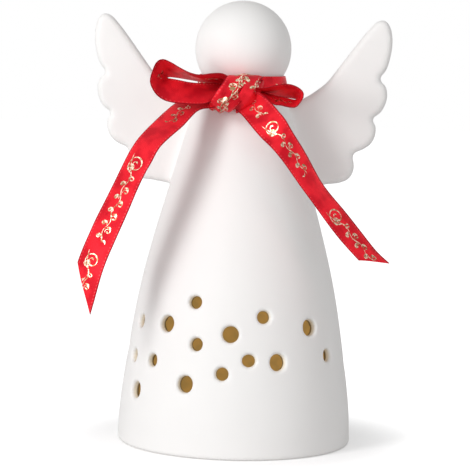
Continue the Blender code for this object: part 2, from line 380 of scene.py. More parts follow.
# %% Punch the holes: degrees round from the front, height in millimetres, and large or small
SMALL_HOLE = 0.00265
LARGE_HOLE = 0.00335
HOLES = [(-68, 36.4, 0), (-66, 50.6, 0), (-60, 23.4, 1), (-49, 36.4, 0), (-41.5, 51.5, 1),
         (-26, 28.9, 1), (-24.4, 61.0, 0), (-21.6, 44.7, 0), (-6.7, 33.8, 0), (-2.9, 49.3, 1),
         (7.2, 39.2, 0), (15.6, 56.1, 0), (22.8, 38.4, 1), (44.6, 51.2, 1), (57.8, 39.3, 0)]
BACK_HEIGHTS = (33, 52, 38, 27, 60)
BACK_START, BACK_STEP, BACK_HOLES = 86, 15.6, 13
HOLES += [(BACK_START + BACK_STEP * i, BACK_HEIGHTS[i % 5], int(i % 3 == 0)) for i in range(BACK_HOLES)]

PIN_SIDES = 32
PIN_REACH = 0.0075
PIN_TIP = 0.9
PIN_TAPER = [(0.93, -0.0032), (0.98, -0.0026), (1.0, -0.0013)]
PIN_FLARE = [(0.0002, -0.0007), (0.0005, -0.0003), (0.0010, 0.0), (0.0018, 0.0003)]
OUT_OF_ROUND = 0.035


def flared_pin(turn, height, radius):
    """A pin through the wall, square to it, that tapers inwards and widens at the outer face."""
    rise = math.atan((float(dress_radius(height - MM)) - float(dress_radius(height + MM))) / (2 * MM))
    face = float(dress_radius(height))
    start_clean()
    bpy.ops.mesh.primitive_circle_add(vertices=PIN_SIDES, radius=radius * PIN_TIP, fill_type="NGON",
                                      location=(0, 0, -PIN_REACH))
    pin = bpy.context.object
    settle(pin, "pin")
    bpy.ops.object.mode_set(mode="EDIT")
    bpy.ops.mesh.select_all(action="SELECT")
    rings = [(radius * share, z) for share, z in PIN_TAPER]
    rings += [(radius + wider, z) for wider, z in PIN_FLARE]
    size, low = radius * PIN_TIP, -PIN_REACH
    for r, z in rings:
        bpy.ops.mesh.extrude_region_move(TRANSFORM_OT_translate={"value": (0, 0, z - low)})
        bpy.ops.transform.resize(value=(r / size, r / size, 1), center_override=(0, 0, z))
        size, low = r, z
    bpy.ops.mesh.select_all(action="SELECT")
    uneven = OUT_OF_ROUND * math.sin(turn)
    bpy.ops.transform.resize(value=(1 + uneven, 1 - uneven, 1), center_override=(0, 0, 0))
    bpy.ops.mesh.normals_make_consistent(inside=False)
    bpy.ops.object.mode_set(mode="OBJECT")
    pin.matrix_world = (Matrix.Rotation(math.radians(turn), 4, "Z")
                        @ Matrix.Translation((0, -face, height))
                        @ Matrix.Rotation(math.pi / 2 - rise, 4, "X"))
    settle(pin, "pin")
    return pin


def in_fixed_order(obj):
    """The same points and faces, in an order that doesn't change from run to run."""
    points = read_points(obj)
    order = np.lexsort(points.T)
    place_of = np.empty(len(order), int)
    place_of[order] = np.arange(len(order))
    faces = []
    for face in obj.data.polygons:
        corners = place_of[list(face.vertices)].tolist()
        first = corners.index(min(corners))
        faces.append(corners[first:] + corners[:first])
    ordered = bpy.data.meshes.new(obj.name)
    ordered.from_pydata(points[order].tolist(), [], sorted(faces))
    obj.data = ordered


pins = [flared_pin(turn, height * MM, LARGE_HOLE if large else SMALL_HOLE)
        for turn, height, large in HOLES]
cutter = join_into(pins[0], *pins[1:])
for tool in (hollow, cutter):
    apply_modifier(angel, "BOOLEAN", object=tool, operation="DIFFERENCE", solver="EXACT")
    bpy.data.objects.remove(tool, do_unlink=True)
in_fixed_order(angel)
print("holes:", len(HOLES), "faces:", len(angel.data.polygons))

# %% [markdown]
# ## An even, soft skin
#
# The cuts leave sharp rims and long thin faces, in an order that changes from run to run, so they
# are sorted first: an equal start gives an equal end. A second remesh and a few passes of smoothing
# round the rims as a sponge does. Decimate then thins the even grid to what the curves need: it
# keeps points at the rims and feathers and spares them on the plain dress. A mark on each point says
# how far inside the wall it lies, which places the painted shade and glow in the holes and on the
# inner wall.

# %% Even out the skin
FINE_SKIN = 0.00078
MOST_TRIANGLES = 190000
remesh(angel, FINE_SKIN)
apply_modifier(angel, "SMOOTH", factor=0.5, iterations=4)


def inside_share(points):
    """0 on the outer face, 1 on the inner wall."""
    return np.clip(-figure_distance(points) / WALL, 0, 1)


triangles = 2 * len(angel.data.polygons)
apply_modifier(angel, "DECIMATE", ratio=min(1.0, MOST_TRIANGLES / triangles))
make_active(angel)
bpy.ops.object.shade_smooth()
mark = angel.data.attributes.new("inside_share", "FLOAT", "POINT")
mark.data.foreach_set("value", inside_share(read_points(angel)).astype(np.float32))
settle(angel, "angel_ceramic")
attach(angel, "root")
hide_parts("angel_shell")
top = float(read_points(angel)[:, 2].max())
print("ceramic:", len(angel.data.polygons), "faces, top at", round(top, 5))

# %% [markdown]
# ## Shader maths as plain arithmetic
#
# A finish is a small sum over the surface: a mask here, a speck there. Wiring each sum by hand is
# slow to read, so this class wraps a socket and lets Python's own operators add the Math nodes.

# %% Socket arithmetic
class Shade:
    """One material's nodes, and a socket that can be added, multiplied and compared."""

    def __init__(self, tree, socket):
        self.tree = tree
        self.socket = socket

    def math(self, operation, *values):
        return make_node(self.tree, "ShaderNodeMath", {"operation": operation}, dict(enumerate(values)))

    def of_itself(self, operation):
        """An operation that needs this socket alone, such as SINE or ABSOLUTE."""
        return self.math(operation, self)

    def __add__(self, other):
        return self.math("ADD", self, other)

    def __radd__(self, other):
        return self.math("ADD", other, self)

    def __rsub__(self, other):
        return self.math("SUBTRACT", other, self)

    def __mul__(self, other):
        return self.math("MULTIPLY", self, other)

    def clamp(self):
        return make_node(self.tree, "ShaderNodeClamp", {}, {"Value": self})

    def step(self, low, high):
        """0 below low, 1 above high, smooth between them."""
        return make_node(self.tree, "ShaderNodeMapRange", {"interpolation_type": "SMOOTHSTEP"},
                         {"Value": self, "From Min": low, "From Max": high})


def make_node(tree, kind, settings, values, output=0):
    """Add a node: its settings first, then its sockets' values or links."""
    node = tree.nodes.new(kind)
    for name, value in settings.items():
        setattr(node, name, value)
    for key, value in values.items():
        if isinstance(value, Shade):
            tree.links.new(value.socket, node.inputs[key])
        else:
            node.inputs[key].default_value = value
    return Shade(tree, node.outputs[output]) if node.outputs else None


def mix_colour(tree, share, first, second):
    node = tree.nodes.new("ShaderNodeMix")
    node.data_type = "RGBA"
    for socket, value in ((node.inputs[0], share), (node.inputs[6], first), (node.inputs[7], second)):
        if isinstance(value, Shade):
            tree.links.new(value.socket, socket)
        else:
            socket.default_value = value
    return Shade(tree, node.outputs[2])


def new_material(name, **sockets):
    mat = bpy.data.materials.new(name)
    mat.use_nodes = True
    shader = mat.node_tree.nodes["Principled BSDF"]
    for key, value in sockets.items():
        shader.inputs[key.replace("_", " ")].default_value = value
    return mat, mat.node_tree, shader


# %% [markdown]
# ## The ceramic's finish
#
# Unglazed porcelain is matt and faintly grainy, and it glows a little where light passes through
# the wall: that glow is painted as a warm cream on the holes' side walls. Inside, the wall looks
# warm ochre through the holes. Fine noise on the object's own coordinates gives the grain, and the
# mark of depth in the wall places the painted dark shade at the holes' inner ends and the painted
# brown shade and painted ochre glow of the inner wall.

# %% Matt porcelain: steps are shares of the wall, 0 on the outer face and 1 on the inner one
CLAYS = (0.875, 0.862, 0.850, 1), (0.905, 0.893, 0.882, 1)
# A warm cream on the holes' side walls: painted glow of light through the thin wall.
THIN_EDGE_GLOW = (0.93, 0.86, 0.70, 1)
# A dark brown at the holes' inner ends: painted shade.
HOLE_END_SHADE = (0.16, 0.11, 0.05, 1)
# The brown of the inner wall: painted shade of the hollow.
INNER_WALL_SHADE = (0.30, 0.19, 0.07, 1)
# Emission colours: painted glow, faint at the holes' ends and ochre on the inner wall.
NO_GLOW = (0, 0, 0, 1)
END_GLOW = (0.040, 0.026, 0.008, 1)
OCHRE_GLOWS = (0.185, 0.125, 0.040, 1), (0.250, 0.150, 0.042, 1)
porcelain, tree, shader = new_material("matt_porcelain_bisque", Roughness=0.62, IOR=1.5)
place = make_node(tree, "ShaderNodeTexCoord", {}, {}, output="Object")
grain = make_node(tree, "ShaderNodeTexNoise", {}, {"Vector": place, "Scale": 1400.0, "Detail": 3.0})
cloud = make_node(tree, "ShaderNodeTexNoise", {}, {"Vector": place, "Scale": 45.0, "Detail": 2.0})
inside = make_node(tree, "ShaderNodeAttribute", {"attribute_name": "inside_share"}, {}, output="Fac")
clay = mix_colour(tree, cloud, *CLAYS)
# Mottling of the painted ochre glow on the inner wall.
glow_mottle = make_node(tree, "ShaderNodeTexNoise", {}, {"Vector": place, "Scale": 260.0, "Detail": 3.0})
# Masks by depth in the wall: painted glow on the holes' sides, painted shade and a faint painted glow at
# their inner ends, painted shade and ochre glow on the inner wall.
glowing_side = inside.step(0.10, 0.60)
end_shade_and_glow = inside.step(0.56, 0.76)
far_wall_shade_and_glow = inside.step(0.88, 0.98)
skin = mix_colour(tree, glowing_side, clay, THIN_EDGE_GLOW)
skin = mix_colour(tree, end_shade_and_glow, skin, HOLE_END_SHADE)
skin = mix_colour(tree, far_wall_shade_and_glow, skin, INNER_WALL_SHADE)
warm = mix_colour(tree, glow_mottle.step(0.35, 0.65), *OCHRE_GLOWS)
glow = mix_colour(tree, end_shade_and_glow, NO_GLOW, END_GLOW)
glow = mix_colour(tree, far_wall_shade_and_glow, glow, warm)
bump = make_node(tree, "ShaderNodeBump", {}, {"Strength": 0.06, "Distance": 0.0002, "Height": grain})
tree.links.new(skin.socket, shader.inputs["Base Color"])
# The emission is painted glow at the holes' ends and on the inner wall, not a lamp.
tree.links.new(glow.socket, shader.inputs["Emission Color"])
shader.inputs["Emission Strength"].default_value = 1.0
tree.links.new((0.58 + grain * 0.1).socket, shader.inputs["Roughness"])
tree.links.new(bump.socket, shader.inputs["Normal"])
angel.data.materials.clear()
angel.data.materials.append(porcelain)

# %% [markdown]
# ## The ribbon's routes
#
# A ribbon keeps one width and only bends and twists, so each length of it is told by stations: a
# point on its middle line and the way its width runs there. The figure's bow has two loops that
# open to the front, two tails that hang clear of the dress, a band round the neck, and a knot of
# two folds.

# %% Width of the ribbon
RIBBON_WIDTH = 12.0

# %% [markdown]
# ## The tails, the loops and the knot
#
# A loop is seen edge on: its near edge draws a bright line in the photograph and its far edge draws
# the loop's opening. Each station below is where the near edge shows, how far in front of the axis
# it lies, and where the far edge shows. The far edge is then one ribbon width behind on its own
# line of sight, so the loop has its true depth from the side as well. The tails are told the same
# way: their right edges are the near ones. The knot's folds are wider than deep, so theirs are a
# place on the middle line, its depth, and the half width to one edge.

# %% Edges of the loops as the photograph shows them
LEFT_RIMS = [((228, 77.5), -28.3, (230, 83)), ((222, 74.2), -29.5, (224, 82.6)),
             ((212, 73.8), -31, (213, 82.3)), ((200, 74.8), -32, (202, 81.9)),
             ((190, 72.6), -33, (192, 80.4)), ((180, 67.8), -33.5, (182, 78.7)),
             ((171, 62.6), -33.5, (175, 77.5)), ((163, 59.5), -33, (171, 77)),
             ((157, 62), -33, (168.5, 77.1)), ((153, 70), -33.8, (167.5, 77.5)),
             ((150.2, 80), -34.5, (167.5, 78.1)), ((151.7, 87), -34.8, (168.5, 78.6)),
             ((156.7, 95), -34.5, (171.5, 79)), ((164, 100.2), -34, (175.5, 79.5)),
             ((173, 102.8), -33.8, (181, 80.5)), ((185, 104), -33.2, (189, 82)),
             ((195, 104.5), -32.3, (198, 83)), ((205, 103.6), -31, (208, 83.2)),
             ((214, 100), -29.5, (217, 83.6)), ((222, 96), -28, (224, 84.4))]
RIGHT_RIMS = [((254, 88.5), -28, (254, 91)), ((261, 88.6), -29, (261, 92.2)),
              ((268, 87.6), -30, (268, 93.6)), ((276, 85.3), -31, (276, 95.2)),
              ((284, 84), -31.8, (284, 97)), ((291, 84.5), -32.5, (290, 98.3)),
              ((298, 87.3), -33, (294, 99)), ((303, 92), -33.8, (295.8, 99.4)),
              ((303.3, 97), -34.3, (295.8, 99.7)), ((300, 102.5), -34.8, (294, 99.6)),
              ((295.5, 107), -35.2, (290.5, 98.9)), ((288, 106.8), -34.9, (284, 97.6)),
              ((281, 105.3), -34.3, (277, 96)), ((274, 104.6), -33.4, (271, 94.5)),
              ((267, 100.5), -32, (265, 92.8)), ((260, 96), -30.5, (259, 91)),
              ((253, 93), -29, (253, 90))]

# %% Edges of the tails as the photograph shows them
LEFT_EDGES = [((233, 107), -25, (217, 86)), ((213, 108), -28, (197, 90)), ((198, 110.5), -32, (176, 103)),
              ((182, 127), -38.5, (160, 116)), ((161, 146), -45, (140.9, 135.8)),
              ((151, 162.5), -47, (129.7, 151.7)), ((142.3, 179), -48, (120, 170)),
              ((129.5, 208.5), -48.5, (105.8, 199.6)), ((116, 238.5), -48.5, (91.5, 228.3)),
              ((102.8, 271.5), -48.5, (78.2, 260.2)), ((90, 315), -48.5, (66, 306))]
RIGHT_EDGES = [((249, 86), -23, (227, 106)), ((263.8, 95.5), -30.5, (240.7, 114)),
               ((279.8, 112), -37.5, (255.6, 132)), ((291, 129), -43.5, (270.5, 147)),
               ((304, 150.5), -45.5, (285.5, 164.5)), ((320.8, 181.3), -46.5, (305.3, 193.2)),
               ((343.2, 209.2), -46.5, (326.7, 222.3)), ((359.2, 230), -46, (343.6, 243.7)),
               ((375.4, 249.8), -46, (360.4, 262.8)), ((389.5, 263.3), -45.5, (374, 278))]

# %% Middle lines of the knot's folds as the photograph shows them
FRONT_ROLL = [((246, 78.5), -18, (18, -1), 0.5), ((245, 77.5), -21.5, (17.5, 0.5), 0.8),
              ((242, 80), -26, (15.5, 3.5), 1.2), ((236.5, 87), -29.6, (13, 5), 1.4),
              ((229.5, 95.5), -31, (12, 5.5), 1.2), ((223.5, 103), -29.6, (12, 4.5), 0.6),
              ((220.5, 107.5), -26, (12.5, 2.5), 0), ((221, 108.5), -22.5, (12, 0.5), 0),
              ((223, 106), -20.5, (11, -1), 0)]
SIDE_ROLL = [((257, 80), -20.5, (7, 3), 0.8), ((255, 84.5), -24, (7.5, 3.5), 1.5),
             ((251.5, 90.5), -28, (8, 4), 2.2), ((247.5, 98), -29, (8.3, 4.6), 2.4),
             ((242.5, 104.5), -27, (8, 4.5), 1.8), ((238.5, 108.5), -23.5, (6.5, 2.5), 0.8),
             ((238, 107.5), -20.5, (5, 1), 0)]


def loop_stations(rims):
    """Stations from near edges and the far edges one ribbon width behind them."""
    stations = []
    for near_pixel, depth, far_pixel in rims:
        near = seen_at(near_pixel, depth)
        far = seen_behind(far_pixel, near, RIBBON_WIDTH)
        stations.append(((near + far) / 2, far - near))
    return stations


def roll_stations(middles):
    """Stations from places on the middle line and the half width to one edge."""
    stations = []
    for pixel, depth, half, deeper in middles:
        middle = seen_at(pixel, depth)
        edge = seen_at((pixel[0] + half[0], pixel[1] + half[1]), depth + deeper)
        stations.append((middle, 2 * (edge - middle)))
    return stations


def tail_stations(edges):
    """Stations whose width runs from the far, left edge to the near, right one."""
    return [(middle, -lean) for middle, lean in loop_stations(edges)]


LEFT_LOOP, RIGHT_LOOP = loop_stations(LEFT_RIMS), loop_stations(RIGHT_RIMS)
LEFT_TAIL, RIGHT_TAIL = tail_stations(LEFT_EDGES), tail_stations(RIGHT_EDGES)
FRONT_FOLD, SIDE_FOLD = roll_stations(FRONT_ROLL), roll_stations(SIDE_ROLL)
print("left loop reaches x =", round(min(float(middle[0]) for middle, _ in LEFT_LOOP), 1))
print("right loop reaches x =", round(max(float(middle[0]) for middle, _ in RIGHT_LOOP), 1))

# %% [markdown]
# ## From stations to cloth
#
# Each length is a grid whose rows run along the ribbon and whose columns cross it. Two numbers are
# kept on every point: how far along the ribbon it lies and how far from its middle, in millimetres.
# The weave, the stitched edges and the foil all follow those two numbers.

# %% How the cloth gathers, waves and pleats, in millimetres along and half widths across
KNOT_REACH = 7.0
GATHER_CURVE = 0.8
GATHER_DEPTH, GATHER_FOLDS = 1.2, 8.5
WAVE_ALONG, WAVE_ACROSS = 0.21, 1.1
PLEAT_ACROSS, PLEAT_DRIFT, PLEAT_ALONG = 7.4, 0.6, 0.3
PINCH_ACROSS, PINCH_ALONG, PINCH_START = 5.2, 0.09, 0.8
FACE_STEP = 0.4
CUT_FROM = 0.6


# %% Lay a grid along the stations
class Length:
    """One length of ribbon: its middle line, its width and its face, at any place on it."""

    def __init__(self, stations, ends=(), width=RIBBON_WIDTH, cup=0.0, pleats=0.0, wave=0.0,
                 back=False, hold=0.55, pinch=0.0):
        centres = self.spline(np.array([place for place, _ in stations], float))
        leans = self.spline(np.array([lean for _, lean in stations], float))
        run = np.linalg.norm(np.diff(centres, axis=0), axis=1)
        self.at = np.concatenate([[0.0], np.cumsum(run)])
        self.total = float(self.at[-1])
        self.centres = centres
        sizes = np.linalg.norm(leans, axis=1)
        self.leans = leans / sizes[:, None]
        self.spread = sizes / width if pleats else np.ones_like(sizes)
        self.ends, self.width, self.cup, self.pleats, self.wave = ends, width, cup, pleats, wave
        self.back, self.hold, self.pinch = back, hold, pinch

    @staticmethod
    def spline(points, cuts=24):
        padded = np.vstack([2 * points[0] - points[1], points, 2 * points[-1] - points[-2]])
        line = []
        for a, b, c, d in zip(padded, padded[1:], padded[2:], padded[3:]):
            t = (np.arange(cuts) / cuts)[:, None]
            line.append(0.5 * (2 * b + (c - a) * t + (2 * a - 5 * b + 4 * c - d) * t**2
                               + (3 * b - a - 3 * c + d) * t**3))
        return np.vstack(line + [points[-1:]])

    def look_up(self, table, s):
        return np.stack([np.interp(s, self.at, table[:, k]) for k in range(3)], axis=-1)

    def gather(self, s):
        """Share of the width that is left where the knot holds the ribbon."""
        share = np.ones_like(s)
        for end in self.ends:
            away = s if end == 0 else self.total - s
            free = np.clip(away / KNOT_REACH, 0, 1)**GATHER_CURVE
            share = np.minimum(share, self.hold + (1 - self.hold) * free)
        return share * np.interp(s, self.at, self.spread)

    def place(self, s, t, lift=0.0):
        """Points at s along the ribbon and t across it (-1 to 1), lifted off its printed face."""
        s, t = np.broadcast_arrays(np.asarray(s, float), np.asarray(t, float))
        lean = self.look_up(self.leans, s)
        lean /= np.linalg.norm(lean, axis=-1, keepdims=True)
        run = (self.look_up(self.centres, np.minimum(s + FACE_STEP, self.total))
               - self.look_up(self.centres, np.maximum(s - FACE_STEP, 0)))
        face = np.cross(run, lean)
        face /= np.linalg.norm(face, axis=-1, keepdims=True)
        if self.back:
            face = -face
        gather = self.gather(s)
        half = self.width / 2 * gather
        away = self.cup * (1 - t**2) + self.wave * np.sin(s * WAVE_ALONG + t * WAVE_ACROSS)
        away = away + self.pleats * np.cos(t * PLEAT_ACROSS + PLEAT_DRIFT * np.sin(s * PLEAT_ALONG))
        away = away + np.clip(1 - gather, 0, 1) * GATHER_DEPTH * np.cos(t * GATHER_FOLDS)
        for end in self.ends:
            from_knot = s if end == 0 else self.total - s
            folds = np.cos(t * PINCH_ACROSS + PINCH_ALONG * s + PINCH_START + end)
            away = away + self.pinch * np.exp(-from_knot / KNOT_REACH) * folds
        middle = self.look_up(self.centres, s)
        return middle + lean * (t * half)[..., None] + face * (away + lift)[..., None]


def ribbon_mesh(length, name, across=14, pitch=0.7, cut=0.0):
    """A grid along the length, in metres; cut is how much longer its second edge is than its first."""
    along = max(8, int(length.total / pitch))
    start_clean()
    bpy.ops.mesh.primitive_grid_add(x_subdivisions=along, y_subdivisions=across, size=2)
    cloth = bpy.context.object
    flat = read_points(cloth)
    side = flat[:, 1]
    shorter = abs(cut) * (1 - side * math.copysign(1, cut)) / 2
    share = (flat[:, 0] + 1) / 2
    s = share * length.total - shorter * np.clip((share - CUT_FROM) / (1 - CUT_FROM), 0, 1)
    cloth.data.vertices.foreach_set("co", (length.place(s, side) * MM).astype(np.float32).ravel())
    woven = cloth.data.attributes.new("woven", "FLOAT_VECTOR", "POINT")
    marks = np.stack([s, side * length.width / 2, np.zeros_like(s)], axis=1)
    woven.data.foreach_set("vector", marks.astype(np.float32).ravel())
    settle(cloth, name)
    return cloth


# %% The band round the neck, then every length with the cut of its end
BAND_LOW, BAND_HIGH = 0.1394, 0.1498
LOW_GAP, TOP_GAP = 0.0006, 0.0009
BAND_MIDDLE = 144.6
BAND_RISE = 10.4
BAND_STATIONS = 49
MM_PER_METRE = 1000
top_radius = (float(head_radius(BAND_HIGH)) + TOP_GAP) * MM_PER_METRE
low_radius = (float(dress_radius(BAND_LOW)) + LOW_GAP) * MM_PER_METRE
mid_radius = (top_radius + low_radius) / 2
outwards = top_radius - low_radius
BAND = [((mid_radius * math.sin(a), mid_radius * math.cos(a), BAND_MIDDLE),
         (outwards * math.sin(a), outwards * math.cos(a), BAND_RISE))
        for a in np.linspace(0, 2 * math.pi, BAND_STATIONS)]

LEFT_CUT = 17.5
RIGHT_CUT = 9.0
lengths = {
    "neck_band": (Length(BAND, width=10.6, cup=0.25, back=True), 0.0),
    "left_loop": (Length(LEFT_LOOP, ends=(0, 1), wave=0.12, hold=0.94, pinch=0.7), 0.0),
    "right_loop": (Length(RIGHT_LOOP, ends=(0, 1), wave=0.12, hold=0.94, back=True, pinch=0.55), 0.0),
    "left_tail": (Length(LEFT_TAIL, ends=(0,), cup=0.3, wave=0.15, pinch=0.5), LEFT_CUT),
    "right_tail": (Length(RIGHT_TAIL, ends=(0,), cup=-0.7, wave=0.15, pinch=0.5), RIGHT_CUT),
    "front_fold": (Length(FRONT_FOLD, cup=1.3, pleats=0.2), 0.0),
    "side_fold": (Length(SIDE_FOLD, width=9.0, cup=1.3, pleats=0.16), 0.0),
}
CHECK_MARGIN = 2.0
CHECK_PLACES = 40
for name, (length, _) in lengths.items():
    places = np.linspace(CHECK_MARGIN, length.total - CHECK_MARGIN, CHECK_PLACES)
    lifted = length.place(places, 0.0, lift=1.0) - length.place(places, 0.0)
    forward = round(float((lifted[:, 1] < 0).mean()), 2)
    print(name, round(length.total), "mm, printed face to the front:", forward)

# %% Make the cloth
strips = [ribbon_mesh(length, name, cut=cut) for name, (length, cut) in lengths.items()]
ribbon = join_into(strips[0], *strips[1:])
RIBBON_THICK = 0.00025
apply_modifier(ribbon, "SOLIDIFY", thickness=RIBBON_THICK, offset=0.0)
make_active(ribbon)
bpy.ops.object.shade_smooth_by_angle(angle=math.radians(50))
settle(ribbon, "satin_ribbon")
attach(ribbon, "root")
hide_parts("ribbon_bow")

# %% [markdown]
# ## The satin
#
# Satin is smooth along its warp, so it shines in broad soft bands, and its edges are bound with a
# tight stitch. The two numbers on each point drive it all: fine slanting twill lines, a bound edge
# with painted dark shade along it, a row of stitches near it, and slow patches of painted shade and
# painted sheen over the red, for the shade and shine of a bent satin ribbon.

# %% Red satin: places across the ribbon are millimetres from its middle
TWILL_ALONG, TWILL_ACROSS = 9.0, 22.0
STITCH_ALONG = 4.4
# The red in painted shade and the red in painted sheen, each with its twill.
SHADED_REDS = (0.49, 0.004, 0.012, 1), (0.65, 0.012, 0.026, 1)
SHEEN_REDS = (0.71, 0.008, 0.018, 1), (0.90, 0.026, 0.043, 1)
STITCH_RED = (0.92, 0.22, 0.22, 1)
# A dark red on the outermost edge: painted shade along the ribbon's edge.
EDGE_SHADE_RED = (0.16, 0.004, 0.010, 1)
satin, tree, shader = new_material("red_satin_weave", Metallic=0.25, Specular_IOR_Level=0.08)
marks = make_node(tree, "ShaderNodeAttribute", {"attribute_name": "woven"}, {}, output="Vector")
split = tree.nodes.new("ShaderNodeSeparateXYZ")
tree.links.new(marks.socket, split.inputs[0])
along = Shade(tree, split.outputs[0])
across = Shade(tree, split.outputs[1])
from_middle = across.of_itself("ABSOLUTE")
twill = (along * TWILL_ALONG + across * TWILL_ACROSS).of_itself("SINE") * 0.5 + 0.5
# The edge mask gives the bound edge's real relief and roughness, and its painted dark shade in colour.
edge = from_middle.step(5.55, 5.85)
stitch_row = from_middle.step(4.95, 5.15) * (1 - from_middle.step(5.35, 5.55))
stitch = stitch_row * (along * STITCH_ALONG).of_itself("SINE").step(0.1, 0.7)
# Slow noise places the patches of painted shade and painted sheen.
shade_and_sheen_patches = make_node(tree, "ShaderNodeTexNoise", {}, {"Vector": marks, "Scale": 0.13, "Detail": 2.0})
shaded_red = mix_colour(tree, twill, *SHADED_REDS)
sheen_red = mix_colour(tree, twill, *SHEEN_REDS)
red = mix_colour(tree, shade_and_sheen_patches.step(0.36, 0.60), shaded_red, sheen_red)
red = mix_colour(tree, stitch * 0.32, red, STITCH_RED)
red = mix_colour(tree, edge * 0.7, red, EDGE_SHADE_RED)
relief = twill * 0.25 + stitch * 0.8 + edge * 0.5
bump = make_node(tree, "ShaderNodeBump", {}, {"Strength": 0.35, "Distance": 0.00005, "Height": relief})
tree.links.new(red.socket, shader.inputs["Base Color"])
tree.links.new(bump.socket, shader.inputs["Normal"])
tree.links.new((0.40 + twill * 0.06 + edge * 0.15).socket, shader.inputs["Roughness"])
ribbon.data.materials.clear()
ribbon.data.materials.append(satin)

# %% [markdown]
# ## Gold foil
#
# A fine gold pattern runs along the ribbon. Here it is a plain scroll: a curling vine with
# leaves. It is drawn flat as pen strokes, thick and thin, and then laid on the cloth by
# the same two numbers, a hair's breadth above it.

# %% Pen strokes of the scroll, in millimetres
PEN_ALONG, PEN_ACROSS = 0.5, 0.87
PEN_PRESS = 1.5
TAPER_POINTS = 4
LEAST_TAPER = 0.25
TINY = 1e-9
CURL_POINTS = 26
CURL_CORE = 0.16


def pen(points, thin, thick):
    """A stroke through the points, thick where it runs across the ribbon and thin along it."""
    points = np.array(points, float)
    run = np.gradient(points, axis=0)
    run /= np.linalg.norm(run, axis=1)[:, None] + TINY
    slant = np.abs(run[:, 0] * PEN_ALONG + run[:, 1] * PEN_ACROSS)
    from_end = np.minimum(np.arange(len(points)), np.arange(len(points))[::-1])
    ends = np.minimum(1, from_end / TAPER_POINTS + LEAST_TAPER)
    half = (thin + (thick - thin) * slant**PEN_PRESS) * ends / 2
    normal = np.stack([-run[:, 1], run[:, 0]], axis=1)
    return points + normal * half[:, None], points - normal * half[:, None]


def curl(x, y, size, turns, start, spin=1, squeeze=1.0):
    """A spiral that opens out from its middle."""
    a = np.linspace(0, turns * 2 * math.pi, int(CURL_POINTS * turns))
    r = size * (CURL_CORE + (1 - CURL_CORE) * (a / a[-1])**0.8)
    along = x + r * np.cos(start + spin * a) * squeeze
    return np.stack([along, y + r * np.sin(start + spin * a)], axis=1)


def leaf(x, y, size, turn):
    """A short bowed stroke that leaves the vine at a turn."""
    t = np.linspace(0, 1, 9)
    bow = np.sin(t * math.pi) * size * 0.28
    path = np.stack([t * size, bow], axis=1)
    spin = np.array([[math.cos(turn), math.sin(turn)], [-math.sin(turn), math.cos(turn)]])
    return path @ spin + np.array([x, y])


def scroll(start, length, tall=3.6, flourish=True):
    """Strokes of one scroll that begins at start and runs for length along the ribbon."""
    strokes = []
    x = start
    if flourish:
        strokes.append((curl(x + 4.0, 0.2, tall * 1.05, 1.6, 2.4, 1), 0.18, 0.62))
        strokes.append((curl(x + 5.4, -1.5, tall * 0.5, 1.3, 0.4, -1), 0.16, 0.44))
        sweep = np.linspace(0, 1, 24)
        under = np.stack([x + 0.2 + 8.6 * sweep, tall * (1.1 * sweep**2 - 0.85)], axis=1)
        strokes.append((under, 0.16, 0.40))
        x += 8.0
    wave = tall * 1.25
    s = np.linspace(x, start + length, max(12, int((start + length - x) * 5)))
    strokes.append((np.stack([s, 0.2 * tall * np.sin((s - x) * math.pi / wave)], axis=1), 0.22, 0.44))
    side = 1
    while x < start + length - wave * 0.5:
        tendril = curl(x + 0.42 * wave, side * tall * 0.44, tall * 0.40, 1.15, -side * 1.9, side, 0.8)
        blade = leaf(x + 0.72 * wave, -side * 0.1 * tall, tall * 0.68, -side * 1.15)
        strokes += [(tendril, 0.18, 0.56), (blade, 0.24, 0.78)]
        x += wave * 0.62
        side = -side
    return strokes


# %% Lay the foil on the ribbon
START_MARGIN, END_MARGIN, SIDE_MARGIN = 0.4, 0.6, 0.5
CUT_MARGIN = 0.8
FEWEST_POINTS = 3
FOIL_LIFT = 0.035
FOIL_THICK = 0.00003


def foil_on(length, strokes, name, cut_s=None):
    """The strokes as strips that lie on the length, each kept only where it is well on the cloth."""
    rows = []
    half_width = length.width / 2
    for points, thin, thick in strokes:
        one, two = pen(points, thin, thick)
        keep = (one[:, 0] > START_MARGIN) & (one[:, 0] < length.total - END_MARGIN)
        keep &= np.abs(one[:, 1]) < half_width - SIDE_MARGIN
        if cut_s is not None:
            keep &= one[:, 0] < cut_s(one[:, 1])
        if keep.sum() > FEWEST_POINTS:
            first = int(np.argmax(keep))
            last = first + int(np.argmin(keep[first:])) if not keep[first:].all() else len(keep)
            if last - first > FEWEST_POINTS:
                rows.append((one[first:last], two[first:last]))
    count = sum(len(one) for one, _ in rows)
    points, faces = np.zeros((count * 2, 3)), []
    base = 0
    lift = RIBBON_THICK / MM / 2 + FOIL_LIFT
    for one, two in rows:
        after = base + 2 * len(one)
        points[base:after:2] = length.place(one[:, 0], one[:, 1] / half_width, lift)
        points[base + 1:after:2] = length.place(two[:, 0], two[:, 1] / half_width, lift)
        faces += [(i, i + 1, i + 3, i + 2) for i in range(base, after - 2, 2)]
        base = after
    mesh = bpy.data.meshes.new(name)
    mesh.from_pydata((points * MM).tolist(), [], faces)
    foil = bpy.data.objects.new(name, mesh)
    bpy.context.scene.collection.objects.link(foil)
    return foil


def tail_end(name):
    """How far along a tail its slanting cut leaves cloth, at a place across it."""
    length, cut = lengths[name]
    return lambda t: length.total - cut * (1 - t / (length.width / 2)) / 2 - CUT_MARGIN


